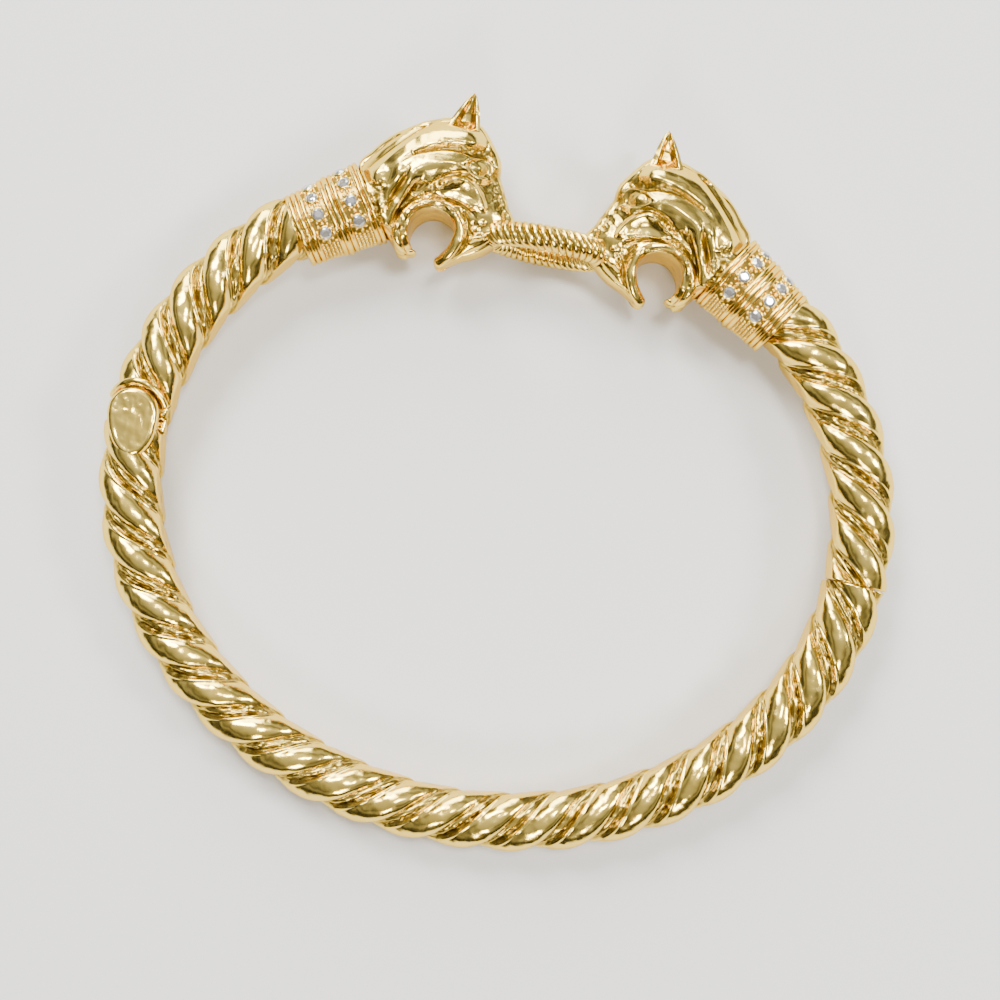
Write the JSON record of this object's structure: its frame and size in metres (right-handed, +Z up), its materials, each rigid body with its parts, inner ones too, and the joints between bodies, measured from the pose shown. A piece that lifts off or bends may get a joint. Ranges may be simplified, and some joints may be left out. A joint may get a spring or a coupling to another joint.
{
  "type": "animal head hinged bangle bracelet",
  "caption": "Oval hinged bangle of twisted rope that ends in feline heads biting a ridged ring, with stone-set collars and a push-in clasp.",
  "frame": {"origin": "middle of the bangle's bounding box, on the surface that it lies on", "axes": "+X along the oval's long side, from the hinge to the clasp; +Y from the back of the rope out past the heads; +Z up from the surface, through the wrist opening"},
  "size_m": [0.0712, 0.0657, 0.0097],
  "materials": {
    "gold": "polished yellow gold, a little worn",
    "gem": "clear faceted stone"
  },
  "bodies": {
    "back": {"back_rope": "gold", "hinge_pin": "gold"},
    "front": {"clasp_tongue": "gold", "left_arm": "gold", "left_collar": "gold", "left_head": "gold", "left_head_band_stone_1": "gem", "left_head_band_stone_2": "gem", "left_head_band_stone_3": "gem", "left_head_band_stone_4": "gem", "left_head_band_stone_5": "gem", "left_head_band_stone_6": "gem", "left_head_band_stone_7": "gem", "left_head_band_stone_8": "gem", "left_head_band_stone_9": "gem", "left_rope_band_stone_1": "gem", "left_rope_band_stone_2": "gem", "left_rope_band_stone_3": "gem", "left_rope_band_stone_4": "gem", "left_rope_band_stone_5": "gem", "left_rope_band_stone_6": "gem", "left_rope_band_stone_7": "gem", "left_rope_band_stone_8": "gem", "left_rope_band_stone_9": "gem", "mouth_ring": "gold", "right_arm": "gold", "right_collar": "gold", "right_head": "gold", "right_head_band_stone_1": "gem", "right_head_band_stone_2": "gem", "right_head_band_stone_3": "gem", "right_head_band_stone_4": "gem", "right_head_band_stone_5": "gem", "right_head_band_stone_6": "gem", "right_head_band_stone_7": "gem", "right_head_band_stone_8": "gem", "right_head_band_stone_9": "gem", "right_rope_band_stone_1": "gem", "right_rope_band_stone_2": "gem", "right_rope_band_stone_3": "gem", "right_rope_band_stone_4": "gem", "right_rope_band_stone_5": "gem", "right_rope_band_stone_6": "gem", "right_rope_band_stone_7": "gem", "right_rope_band_stone_8": "gem", "right_rope_band_stone_9": "gem"}
  },
  "joints": [
    {"name": "bangle_hinge", "type": "hinge", "parent": "back", "child": "front", "pos_m": [-0.03286, -0.00052, 0.00396], "axis": [0, -0.0408, 0.9992], "range_deg": [0, 45]}
  ]
}
